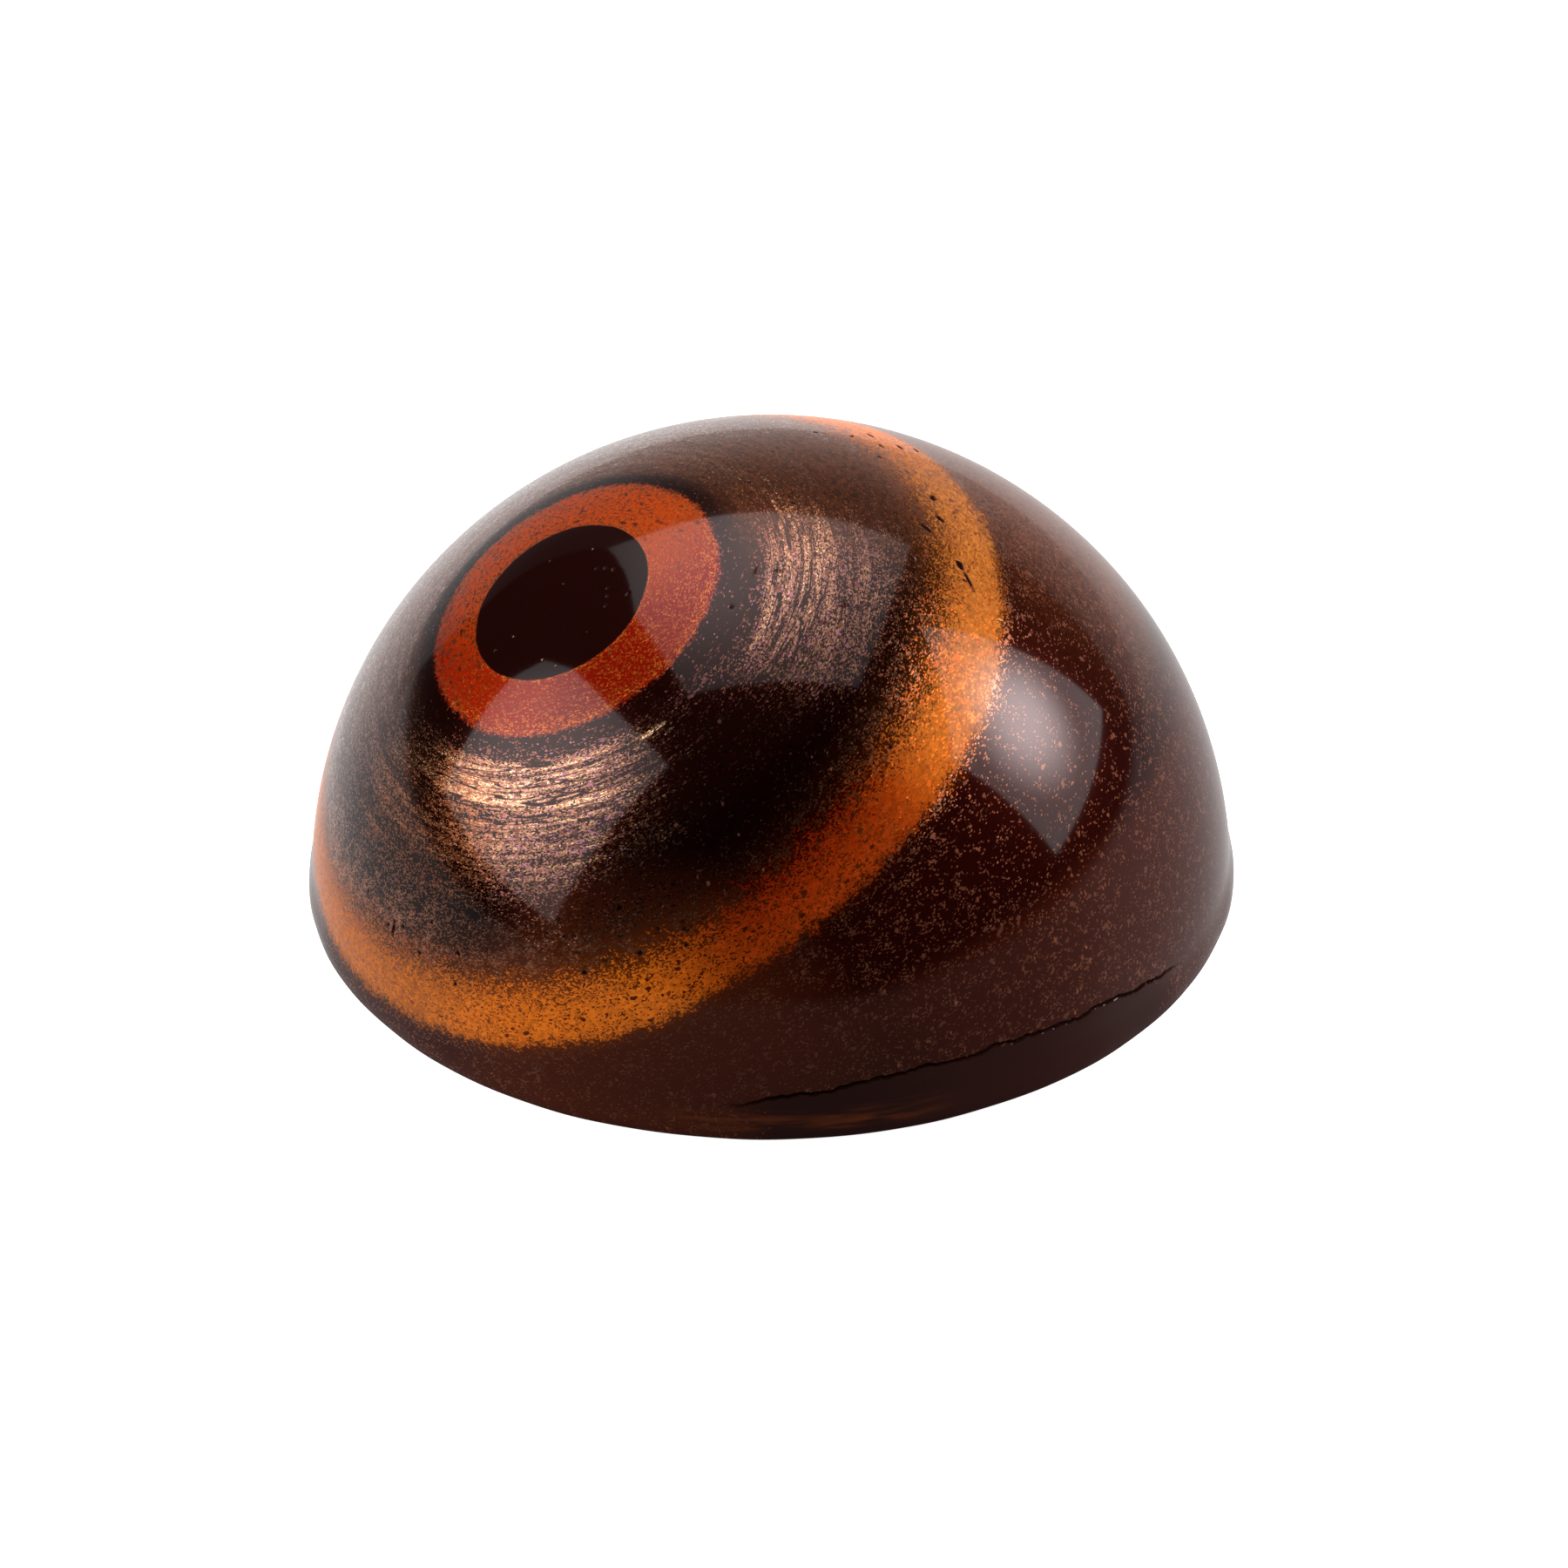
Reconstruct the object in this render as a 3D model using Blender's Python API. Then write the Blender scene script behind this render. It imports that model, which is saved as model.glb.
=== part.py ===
"""Moulded chocolate praline: one solid half dome of dark chocolate, in metres, +Z up.

The origin is the centre of the flat foot. The painted eye faces up, to -X and a little to -Y,
and the hairline seam over the plain chocolate at the foot runs round from +X to -Y.
"""

import math

import bmesh
import bpy
from mathutils import Vector

# The half sphere that the mould gives
DOME_RADIUS = 0.0150
DOME_RINGS = 32
DOME_SIDES = 128

# The foot: a thin lip where the mould's edge was scraped, with a small chamfer under it
LIP_OVERHANG = 0.00010
LIP_HEIGHT = 0.00022
CHAMFER_HEIGHT = 0.00011
CHAMFER_INSET = 0.00014
LIP_BLEND_HEIGHT = 0.00090
FIRST_RING_HEIGHT = 0.00035
LIP_UNEVENNESS = 0.00004
LIP_WAVES = [(5, 0.4, 1.0), (9, 2.1, 0.8), (17, 4.0, 0.6), (31, 1.2, 0.4)]

# The hairline seam between the painted shell and the plain chocolate that closes the foot
SEAM_TOP = 0.00215
SEAM_START_DEG = -18.0
SEAM_END_DEG = -106.0
SEAM_SHOWS_FROM_DEG = -27.0
SEAM_SHOWS_TO_DEG = -98.0
SEAM_FULLNESS = 0.55
SEAM_RAGGEDNESS = 0.00009
SEAM_WAVES = [(23, 0.3, 1.0), (41, 1.9, 0.7), (73, 4.4, 0.5)]
SEAM_GROOVE_RADIUS = 0.00010
SEAM_GROOVE_DEPTH = 0.00008
SEAM_POINTS = 72
SEAM_END_WIDTH = 0.35
SEAM_TAPER_SHARE = 0.125

SHARP_ANGLE_DEG = 35.0
MERGE_DISTANCE = 1e-7

CHOCOLATE_COLOUR = (0.030, 0.011, 0.008, 1.0)
CHOCOLATE_ROUGHNESS = 0.12


def clear_scene():
    for old in list(bpy.data.objects):
        bpy.data.objects.remove(old)


def chocolate_material():
    material = bpy.data.materials.new("dark_chocolate")
    material.use_nodes = True
    shader = material.node_tree.nodes["Principled BSDF"]
    shader.inputs["Base Color"].default_value = CHOCOLATE_COLOUR
    shader.inputs["Roughness"].default_value = CHOCOLATE_ROUGHNESS
    shader.inputs["Metallic"].default_value = 0.0
    return material


def smooth_step(value):
    held = min(1.0, max(0.0, value))
    return held * held * (3.0 - 2.0 * held)


def ripple(azimuth, waves):
    """A sum of sines round the foot, from -1 to 1. Each wave is (turns, phase, share)."""
    total = sum(share for _, _, share in waves)
    return sum(share * math.sin(turns * azimuth + phase) for turns, phase, share in waves) / total


def dome_radius_at(height):
    return math.sqrt(max(0.0, DOME_RADIUS**2 - height**2))


def share_of_lip(height):
    """How much of the lip is left at a height: all of it at the lip, none above the blend."""
    return 1.0 - smooth_step((height - LIP_HEIGHT) / LIP_BLEND_HEIGHT)


def foot_profile():
    """(radius, height) from the centre of the foot out over the chamfer to the lip."""
    lip_radius = dome_radius_at(LIP_HEIGHT) + LIP_OVERHANG
    return [
        (0.0, 0.0),
        (lip_radius - CHAMFER_INSET, 0.0),
        (lip_radius, CHAMFER_HEIGHT),
        (lip_radius, LIP_HEIGHT),
    ]


def dome_profile():
    """(radius, height) from above the lip up the arc to the pole, the lip dying out on the way."""
    first = math.asin(FIRST_RING_HEIGHT / DOME_RADIUS)
    points = []
    for ring in range(DOME_RINGS):
        angle = first + (math.pi / 2 - first) * ring / DOME_RINGS
        height = DOME_RADIUS * math.sin(angle)
        radius = DOME_RADIUS * math.cos(angle) + LIP_OVERHANG * share_of_lip(height)
        points.append((radius, height))
    return points + [(0.0, DOME_RADIUS)]


def roughen_lip(points):
    """Moves the lip in and out a little, as a scraped edge is, and leaves the foot flat."""
    for point in points:
        radius = math.hypot(point.co.x, point.co.y)
        at_centre = radius < CHAMFER_INSET
        if at_centre or point.co.z > LIP_HEIGHT + LIP_BLEND_HEIGHT:
            continue
        azimuth = math.atan2(point.co.y, point.co.x)
        moved = LIP_UNEVENNESS * share_of_lip(point.co.z) * ripple(azimuth, LIP_WAVES)
        point.co.x *= 1.0 + moved / radius
        point.co.y *= 1.0 + moved / radius


def turned_dome(name, material):
    """The praline itself: the profile spun round Z, closed at the foot and at the pole."""
    shape = bmesh.new()
    profile = foot_profile() + dome_profile()
    outline = [shape.verts.new((radius, 0.0, height)) for radius, height in profile]
    for lower, upper in zip(outline, outline[1:]):
        shape.edges.new((lower, upper))
    bmesh.ops.spin(
        shape,
        geom=shape.verts[:] + shape.edges[:],
        cent=(0.0, 0.0, 0.0),
        axis=(0.0, 0.0, 1.0),
        angle=2.0 * math.pi,
        steps=DOME_SIDES,
        use_merge=True,
    )
    bmesh.ops.remove_doubles(shape, verts=shape.verts[:], dist=MERGE_DISTANCE)
    roughen_lip(shape.verts)
    bmesh.ops.recalc_face_normals(shape, faces=shape.faces[:])
    mesh = bpy.data.meshes.new(name)
    shape.to_mesh(mesh)
    shape.free()
    mesh.materials.append(material)
    mesh.shade_smooth()
    mesh.set_sharp_from_angle(angle=math.radians(SHARP_ANGLE_DEG))
    dome = bpy.data.objects.new(name, mesh)
    bpy.context.collection.objects.link(dome)
    return dome


def seam_height(azimuth):
    """The seam rises from the foot, runs level above the plain chocolate and drops again."""
    start, end = math.radians(SEAM_START_DEG), math.radians(SEAM_END_DEG)
    along = min(1.0, max(0.0, (azimuth - start) / (end - start)))
    rise = math.sin(math.pi * along) ** SEAM_FULLNESS
    return SEAM_TOP * rise + SEAM_RAGGEDNESS * ripple(azimuth, SEAM_WAVES)


def seam_cutter():
    """A thin tube along the seam, sunk into the dome by the groove's depth and tapered to its ends."""
    curve = bpy.data.curves.new("seam_route", "CURVE")
    curve.dimensions = "3D"
    curve.bevel_depth = SEAM_GROOVE_RADIUS
    curve.bevel_resolution = 1
    curve.use_fill_caps = True
    spline = curve.splines.new("POLY")
    spline.points.add(SEAM_POINTS - 1)
    first, last = math.radians(SEAM_SHOWS_FROM_DEG), math.radians(SEAM_SHOWS_TO_DEG)
    for step, point in enumerate(spline.points):
        share = step / (SEAM_POINTS - 1)
        azimuth = first + (last - first) * share
        height = seam_height(azimuth)
        fullness = smooth_step(min(share, 1.0 - share) / SEAM_TAPER_SHARE)
        width = SEAM_END_WIDTH + (1.0 - SEAM_END_WIDTH) * fullness
        on_dome = Vector((math.cos(azimuth), math.sin(azimuth), 0.0)) * dome_radius_at(height)
        on_dome.z = height
        reach = DOME_RADIUS + (SEAM_GROOVE_RADIUS - SEAM_GROOVE_DEPTH) * width
        point.co = (*(on_dome.normalized() * reach), 1.0)
        point.radius = width
    return closed_cutter("seam_cutter", curve)


def closed_cutter(name, curve):
    """The curve's tube as a closed mesh, with its end caps joined on. It only cuts, and isn't shown."""
    route = bpy.data.objects.new(name + "_route", curve)
    mesh = bpy.data.meshes.new_from_object(route)
    bpy.data.objects.remove(route)
    shape = bmesh.new()
    shape.from_mesh(mesh)
    bmesh.ops.remove_doubles(shape, verts=shape.verts[:], dist=MERGE_DISTANCE)
    bmesh.ops.recalc_face_normals(shape, faces=shape.faces[:])
    shape.to_mesh(mesh)
    shape.free()
    cutter = bpy.data.objects.new(name, mesh)
    cutter.hide_render = True
    cutter.display_type = "WIRE"
    bpy.context.collection.objects.link(cutter)
    return cutter


def cut_seam(dome, cutter):
    groove = dome.modifiers.new("seam_groove", "BOOLEAN")
    groove.operation = "DIFFERENCE"
    groove.solver = "EXACT"
    groove.object = cutter


clear_scene()
praline = turned_dome("praline", chocolate_material())
cut_seam(praline, seam_cutter())
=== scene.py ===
import bpy
import bmesh
import math
import random
from mathutils import Matrix, Vector, noise
from mathutils.kdtree import KDTree


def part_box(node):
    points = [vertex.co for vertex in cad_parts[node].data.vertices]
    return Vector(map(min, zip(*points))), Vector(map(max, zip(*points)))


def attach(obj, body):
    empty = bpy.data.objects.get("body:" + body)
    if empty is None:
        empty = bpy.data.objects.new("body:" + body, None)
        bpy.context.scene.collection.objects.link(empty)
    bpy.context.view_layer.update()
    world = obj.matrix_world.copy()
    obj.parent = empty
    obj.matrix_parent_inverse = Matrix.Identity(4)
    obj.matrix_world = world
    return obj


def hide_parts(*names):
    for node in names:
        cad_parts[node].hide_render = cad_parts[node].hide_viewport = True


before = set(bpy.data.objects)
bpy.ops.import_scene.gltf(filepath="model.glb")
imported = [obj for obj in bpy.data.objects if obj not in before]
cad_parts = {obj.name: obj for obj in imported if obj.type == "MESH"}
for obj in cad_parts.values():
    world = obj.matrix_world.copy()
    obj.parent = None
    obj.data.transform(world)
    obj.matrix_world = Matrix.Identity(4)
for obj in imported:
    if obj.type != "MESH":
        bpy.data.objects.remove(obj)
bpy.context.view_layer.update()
footCorner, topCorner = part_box("praline")
domeRadius = topCorner.z - footCorner.z  # a half sphere, so its height is its radius
mm = 0.001
hair = 1e-6  # a millionth of a metre: two heights this near are the same

# where the camera stood, and where the dome's centre lands in the square picture
photoView = {
    "pictureSize": 1800,
    "elevation": 34.316,
    "distance": 0.4011,
    "roll": 0.685,
    "domePixels": 527.06,  # the dome's radius, in pixels
    "centrePixel": (885.2, 1002.74),
    "sensor": 36.0,
    "clipStart": 0.01,
}

# the painted rings all sit round one leaning axis, each with its own small error of the hand
ringPlace = {
    "lean": 29.2, "heading": -153.8,
    "eyeLean": 29.83, "eyeHeading": -154.19, "eyeSize": 11.95,
    "redLean": 28.89, "redHeading": -153.87, "redSize": 19.75,
    "bandLean": 30.09, "bandHeading": -153.15,
}


def axisAt(lean, heading):
    lean, heading = math.radians(lean), math.radians(heading)
    flat = math.sin(lean)
    return Vector((flat * math.cos(heading), flat * math.sin(heading), math.cos(lean)))


ringAxis = axisAt(ringPlace["lean"], ringPlace["heading"])
eyeAxis = axisAt(ringPlace["eyeLean"], ringPlace["eyeHeading"])
redAxis = axisAt(ringPlace["redLean"], ringPlace["redHeading"])
bandAxis = axisAt(ringPlace["bandLean"], ringPlace["bandHeading"])
ringNorth = (Vector((0, 0, 1)) - ringAxis * ringAxis.z).normalized()  # from the eye to the top
ringEast = ringAxis.cross(ringNorth)


def onRing(angle, turn):
    # a point of the unit dome, by its angle from the ring axis and its turn round it
    angle, turn = math.radians(angle), math.radians(turn)
    around = ringNorth * math.cos(turn) + ringEast * math.sin(turn)
    return ringAxis * math.cos(angle) + around * math.sin(angle)


def smoothStep(value):
    held = min(1.0, max(0.0, value))
    return held * held * (3 - 2 * held)


# helpers for modelling by operators

def pickNothing():
    bpy.ops.object.select_all(action="DESELECT")


def pickFaces(test):
    # in edit mode: selects the faces whose centre and normal pass the test
    shape = bmesh.from_edit_mesh(bpy.context.object.data)
    for face in shape.faces:
        face.select_set(False)
    for face in shape.faces:
        if test(face):
            face.select_set(True)
    shape.select_flush(True)
    bmesh.update_edit_mesh(bpy.context.object.data)


def pickRim(height):
    # in edit mode: selects the open edge loop that lies at a height
    shape = bmesh.from_edit_mesh(bpy.context.object.data)
    for edge in shape.edges:
        low = all(abs(corner.co.z - height) < hair for corner in edge.verts)
        edge.select_set(edge.is_boundary and low)
    bmesh.update_edit_mesh(bpy.context.object.data)


print("praline: frame loaded, dome radius", round(domeRadius * 1000, 2), "mm")

# the moulded body: sizes in metres
shell = {
    "segments": 432,
    "rings": 216,
    "firstRing": 0.00035,  # the dome proper starts here, above the lip
    "lipOverhang": 0.00010,
    "lipHeight": 0.00022,
    "chamferHeight": 0.00011,
    "chamferInset": 0.00014,
    "lipBlend": 0.00090,
    "lipWaves": ((5, 0.4, 1.0), (9, 2.1, 0.8), (17, 4.0, 0.6), (31, 1.2, 0.4)),
    "lipUnevenness": 0.00004,
    "footInsets": (0.0006, 0.0012, 0.002, 0.003, 0.003, 0.002),
    "wobble": 0.0000025,  # how far the gloss surface is from a true sphere
    "wobbleScale": 260.0,
    "eyeSink": 0.00010,  # the eye's middle has shrunk in a little
    "creaseAngle": 35.0,
    "lipReach": 0.006,  # below this height a point is set on the dome by its height
    "lipFrom": 0.9, "scrapedTo": 0.97,  # where the lip begins and the scraped foot ends, in dome radii
    "marksAbove": 0.003,
    "scraperLines": 0.000012, "scraperScales": (160, 2600),
}

# the hairline seam over the plain chocolate at the foot
seam = {
    "top": 0.00215,
    "start": -18.0, "end": -106.0,
    "showsFrom": -27.0, "showsTo": -98.0,
    "fullness": 0.55,
    "raggedness": 0.00009,
    "waves": ((23, 0.3, 1.0), (41, 1.9, 0.7), (73, 4.4, 0.5)),
    "jitter": 0.00005,  # small steps of the crack, this many to a radian
    "jitterTurns": 70,
    "halfWidth": 0.00005,
    "depth": 0.00008,
    "endTaper": 0.125,
    "below": 0.0035,  # no part of the seam lies above this
    "points": 420,
    "plainEdge": 0.00003, "plainFade": 0.00005,
    "wornTo": 0.9, "wornFade": 0.7,  # how far the painted shade inside the crack reaches, in half widths of the groove
}

# how near the seam and the marks the faces are cut in four, round by round
finerNear = {"seam": (0.00030, 0.00015), "marks": (0.00016, 0.00009)}

# chips, pits and nicks: (angle from the ring axis, turn round it, long mm, wide mm, heading, deep mm)
marks = {
    "tadpoleHead": (50.3, -25.0, 0.46, 0.24, 156, 0.030),
    "tadpoleTail": (51.3, -28.0, 0.90, 0.11, 156, 0.022),
    "chipA": (49.6, -8.4, 0.36, 0.24, 20, 0.026),
    "chipB": (49.1, -14.2, 0.42, 0.20, 150, 0.026),
    "chipC": (46.7, -17.4, 0.46, 0.20, 140, 0.020),
    "swirlBar": (27.3, -33.7, 0.60, 0.28, 95, 0.009),
    "swirlArc": (24.6, -34.0, 1.00, 0.18, 8, 0.009),
    "spotInner": (22.7, -48.9, 0.34, 0.28, 0, 0.010),
    "spotOuter": (36.0, -41.1, 0.52, 0.34, 60, 0.010),
    "spotLower": (34.0, -46.9, 0.40, 0.24, 80, 0.009),
    "lowPitA": (49.4, -128.7, 0.22, 0.18, 0, 0.030),
    "lowPitB": (48.9, -118.5, 0.20, 0.17, 0, 0.028),
    "lowPitC": (48.4, -109.9, 0.24, 0.16, 30, 0.028),
    "lowPitD": (46.9, -153.3, 0.18, 0.15, 0, 0.026),
    "lowPitE": (48.5, -162.5, 0.18, 0.15, 0, 0.026),
    "sideNick": (47.2, -169.8, 0.62, 0.14, 88, 0.024),
    "dashA": (50.9, 14.5, 0.50, 0.10, 6, 0.018),
    "dashB": (49.5, 9.4, 0.42, 0.10, 4, 0.018),
    "dashC": (52.4, 9.4, 0.46, 0.12, 10, 0.018),
    "dashD": (54.6, 8.6, 0.36, 0.10, 5, 0.018),
    "eyePitA": (5.4, 1.6, 0.13, 0.12, 0, 0.012),
    "eyePitB": (6.3, -7.2, 0.14, 0.12, 0, 0.012),
    "eyePitC": (7.1, -15.2, 0.14, 0.11, 0, 0.012),
    "eyePitD": (6.2, -39.6, 0.12, 0.11, 0, 0.012),
    "eyePitE": (6.5, -50.8, 0.14, 0.12, 0, 0.012),
    "eyePitF": (7.0, -63.6, 0.13, 0.12, 0, 0.012),
    "eyePitG": (9.2, -48.4, 0.12, 0.10, 0, 0.010),
}
strayPits = {
    "count": 26, "angles": (43.5, 51.0), "turns": (-180, 40),
    "wide": (0.08, 0.15), "longer": (1, 1.5), "deep": 0.018, "seed": 7,
}
markEdges = {
    "ragged": 0.35, "raggedScale": 9000, "reach": 1.15,
    "rubbedOff": 0.02,  # a mark as deep as this, in mm, has no paint left
    "shallow": 0.011, "softness": (0.5, 1.0),  # a shallow mark has the softer edge
    "room": 0.00015,
}

# single bright specks and strokes of bronze: (angle, turn, long mm, wide mm, heading)
specks = {
    "stroke": (25.0, -96.2, 1.20, 0.17, 0),
    "strokeUnder": (26.3, -92.5, 0.50, 0.10, -4),
    "topScratch": (55.6, -33.7, 0.34, 0.06, 80),
    "farScratch": (23.4, 116.7, 0.26, 0.06, 18),
    "eyeSpeckA": (7.1, 76.9, 0.12, 0.08, 0),
    "eyeSpeckB": (7.5, 28.8, 0.11, 0.08, 40),
    "eyeSpeckC": (2.0, 60.2, 0.22, 0.06, 20),
    "eyeSpeckD": (7.9, 177.8, 0.10, 0.09, 0),
    "eyeSpeckE": (10.7, 176.0, 0.12, 0.09, 0),
    "eyeSpeckF": (7.8, -94.9, 0.08, 0.06, 0),
    "eyeSpeckG": (9.5, -138.3, 0.09, 0.07, 0),
    "eyeSpeckH": (10.7, -126.9, 0.09, 0.07, 0),
}


def ripple(azimuth, waves):
    total = sum(share for _, _, share in waves)
    return sum(share * math.sin(turns * azimuth + phase) for turns, phase, share in waves) / total


def shareOfLip(height):
    return 1 - smoothStep((height - shell["lipHeight"]) / shell["lipBlend"])


def seamHeight(azimuth):
    start, end = math.radians(seam["start"]), math.radians(seam["end"])
    along = min(1.0, max(0.0, (azimuth - start) / (end - start)))
    rise = math.sin(math.pi * along) ** seam["fullness"]
    steps = noise.noise(Vector((azimuth * seam["jitterTurns"], 0.5, 0.5)))
    ragged = seam["raggedness"] * ripple(azimuth, seam["waves"])
    return seam["top"] * rise + ragged + seam["jitter"] * steps


def seamShare(azimuth):
    # 1 along the open seam, dying out at both its ends
    first, last = math.radians(seam["showsFrom"]), math.radians(seam["showsTo"])
    share = (azimuth - first) / (last - first)
    return smoothStep(min(share, 1 - share) / seam["endTaper"])


def seamPoints():
    first, last = math.radians(seam["showsFrom"]), math.radians(seam["showsTo"])
    points = []
    for step in range(seam["points"] + 1):
        azimuth = first + (last - first) * step / seam["points"]
        height = seamHeight(azimuth)
        flat = math.sqrt(domeRadius ** 2 - height ** 2)
        points.append(Vector((flat * math.cos(azimuth), flat * math.sin(azimuth), height)))
    return points


class Mark:
    # one dent or speck, with its own long and cross direction on the dome
    def __init__(self, angle, turn, long, wide, heading, deep=0.0):
        out = onRing(angle, turn)
        outward = (out - ringAxis * out.dot(ringAxis)).normalized()
        away = (outward - out * outward.dot(out)).normalized()
        side = out.cross(away)
        heading = math.radians(heading)
        self.centre = out * domeRadius
        self.along = side * math.cos(heading) + away * math.sin(heading)
        self.across = out.cross(self.along)
        self.halfLong, self.halfWide, self.deep = long * mm / 2, wide * mm / 2, deep * mm
        self.rubbed = smoothStep(deep / markEdges["rubbedOff"])
        sharp, soft = markEdges["softness"]
        self.soft = soft if 0 < deep < markEdges["shallow"] else sharp

    def shareAt(self, place):
        # 1 in the middle, 0 outside, with a slightly ragged edge
        offset = place - self.centre
        ragged = 1 + markEdges["ragged"] * noise.noise(place * markEdges["raggedScale"])
        far = math.hypot(
            offset.dot(self.along) / self.halfLong,
            offset.dot(self.across) / self.halfWide,
        )
        return smoothStep((markEdges["reach"] - far * ragged) / self.soft)


def allMarks():
    # the named marks, and the seeded stray pits of the orange band's inner edge
    found = [Mark(*values) for values in marks.values()]
    draw = random.Random(strayPits["seed"])
    for _ in range(strayPits["count"]):
        angle = draw.uniform(*strayPits["angles"])
        turn = draw.uniform(*strayPits["turns"])
        wide = draw.uniform(*strayPits["wide"])
        long = wide * draw.uniform(*strayPits["longer"])
        found.append(Mark(angle, turn, long, wide, draw.uniform(0, 180), strayPits["deep"]))
    return found + [Mark(*values) for values in specks.values()]


def treeOf(places):
    # finds the places that are near a point
    near = KDTree(len(places))
    for number, place in enumerate(places):
        near.insert(place, number)
    near.balance()
    return near


def refine(reach, points):
    # in edit mode: cuts each face near the points in four; each point is (place, its own size)
    near = treeOf([place for place, _ in points])

    def isNear(face):
        _, number, gap = near.find(face.calc_center_median())
        return gap < reach + points[number][1]

    pickFaces(isNear)
    bpy.ops.mesh.subdivide(number_cuts=1, quadcorner="INNERVERT", smoothness=0)


def makeDome():
    pickNothing()
    bpy.ops.mesh.primitive_uv_sphere_add(
        segments=shell["segments"], ring_count=shell["rings"], radius=domeRadius, location=(0, 0, 0)
    )
    praline = bpy.context.object
    praline.name = "praline_shell"
    bpy.ops.object.mode_set(mode="EDIT")
    bpy.ops.mesh.select_all(action="SELECT")
    bpy.ops.mesh.bisect(
        plane_co=(0, 0, shell["firstRing"]), plane_no=(0, 0, 1), clear_inner=True, threshold=1e-7
    )
    # the lip: the rim is drawn down and out, then in under the chamfer, then closed as the foot
    rim = math.sqrt(domeRadius ** 2 - shell["firstRing"] ** 2)
    lip = domeRadius + shell["lipOverhang"]
    steps = (
        (shell["lipHeight"], lip),
        (shell["chamferHeight"], lip),
        (0.0, lip - shell["chamferInset"]),
    )
    height, radius = shell["firstRing"], rim
    pickRim(height)
    for newHeight, newRadius in steps:
        bpy.ops.mesh.extrude_edges_move(TRANSFORM_OT_translate={"value": (0, 0, newHeight - height)})
        grown = newRadius / radius
        bpy.ops.transform.resize(value=(grown, grown, 1), center_override=(0, 0, newHeight))
        height, radius = newHeight, newRadius
    bpy.ops.mesh.edge_face_add()
    for thickness in shell["footInsets"]:
        bpy.ops.mesh.inset(thickness=thickness, depth=0)
    bpy.ops.mesh.poke()
    return praline


def refineMarks():
    # the seam and the marks get small faces, in rounds that close in on them
    seamLine = [(place, 0.0) for place in seamPoints()]
    dents = [(mark.centre, mark.halfLong) for mark in paintMarks]
    for reach in finerNear["seam"]:
        refine(reach, seamLine)
    for reach in finerNear["marks"]:
        refine(reach, dents)
    bpy.ops.object.mode_set(mode="OBJECT")


def settle(place):
    # brings a point of a cut face back onto the true dome and its lip
    if place.z <= shell["lipHeight"] + 1e-7:
        return place
    if place.z < shell["lipReach"]:
        flat = math.sqrt(domeRadius ** 2 - place.z ** 2) + shell["lipOverhang"] * shareOfLip(place.z)
        here = math.hypot(place.x, place.y)
        return Vector((place.x * flat / here, place.y * flat / here, place.z))
    return place.normalized() * domeRadius


def eyeSinkAt(out):
    # a shallow bowl that ends level with the dome at the eye's rim
    share = out.angle(eyeAxis) / math.radians(ringPlace["eyeSize"])
    return shell["eyeSink"] * (1 - share ** 2) ** 2 if share < 1 else 0.0


def seamAt(place, azimuth):
    # the groove's depth at a point low on the side, the share of painted shade inside the crack, and the
    # share of plain chocolate
    share = seamShare(azimuth)
    gap = place.z - seamHeight(azimuth)
    beside = abs(gap) / seam["halfWidth"]
    groove = share * (1 - smoothStep(beside))
    # the inside of the crack is painted dark, as painted shade
    paintLostAndCrackShade = share * (1 - smoothStep((beside - seam["wornTo"]) / seam["wornFade"]))
    plainShare = share * (1 - smoothStep((gap + seam["plainEdge"]) / seam["plainFade"]))
    return seam["depth"] * groove, paintLostAndCrackShade, plainShare


def marksAt(place, nearby):
    # how deep the marks are at a point, and the shares of worn paint and bright speck
    deep, paintLostAndCrackShade, bright = 0.0, 0.0, 0.0
    for mark in nearby:
        share = mark.shareAt(place)
        if mark.deep > 0:
            deep += mark.deep * share
            paintLostAndCrackShade = max(paintLostAndCrackShade, share * mark.rubbed)
        else:
            bright = max(bright, share)
    return deep, paintLostAndCrackShade, bright


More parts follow.
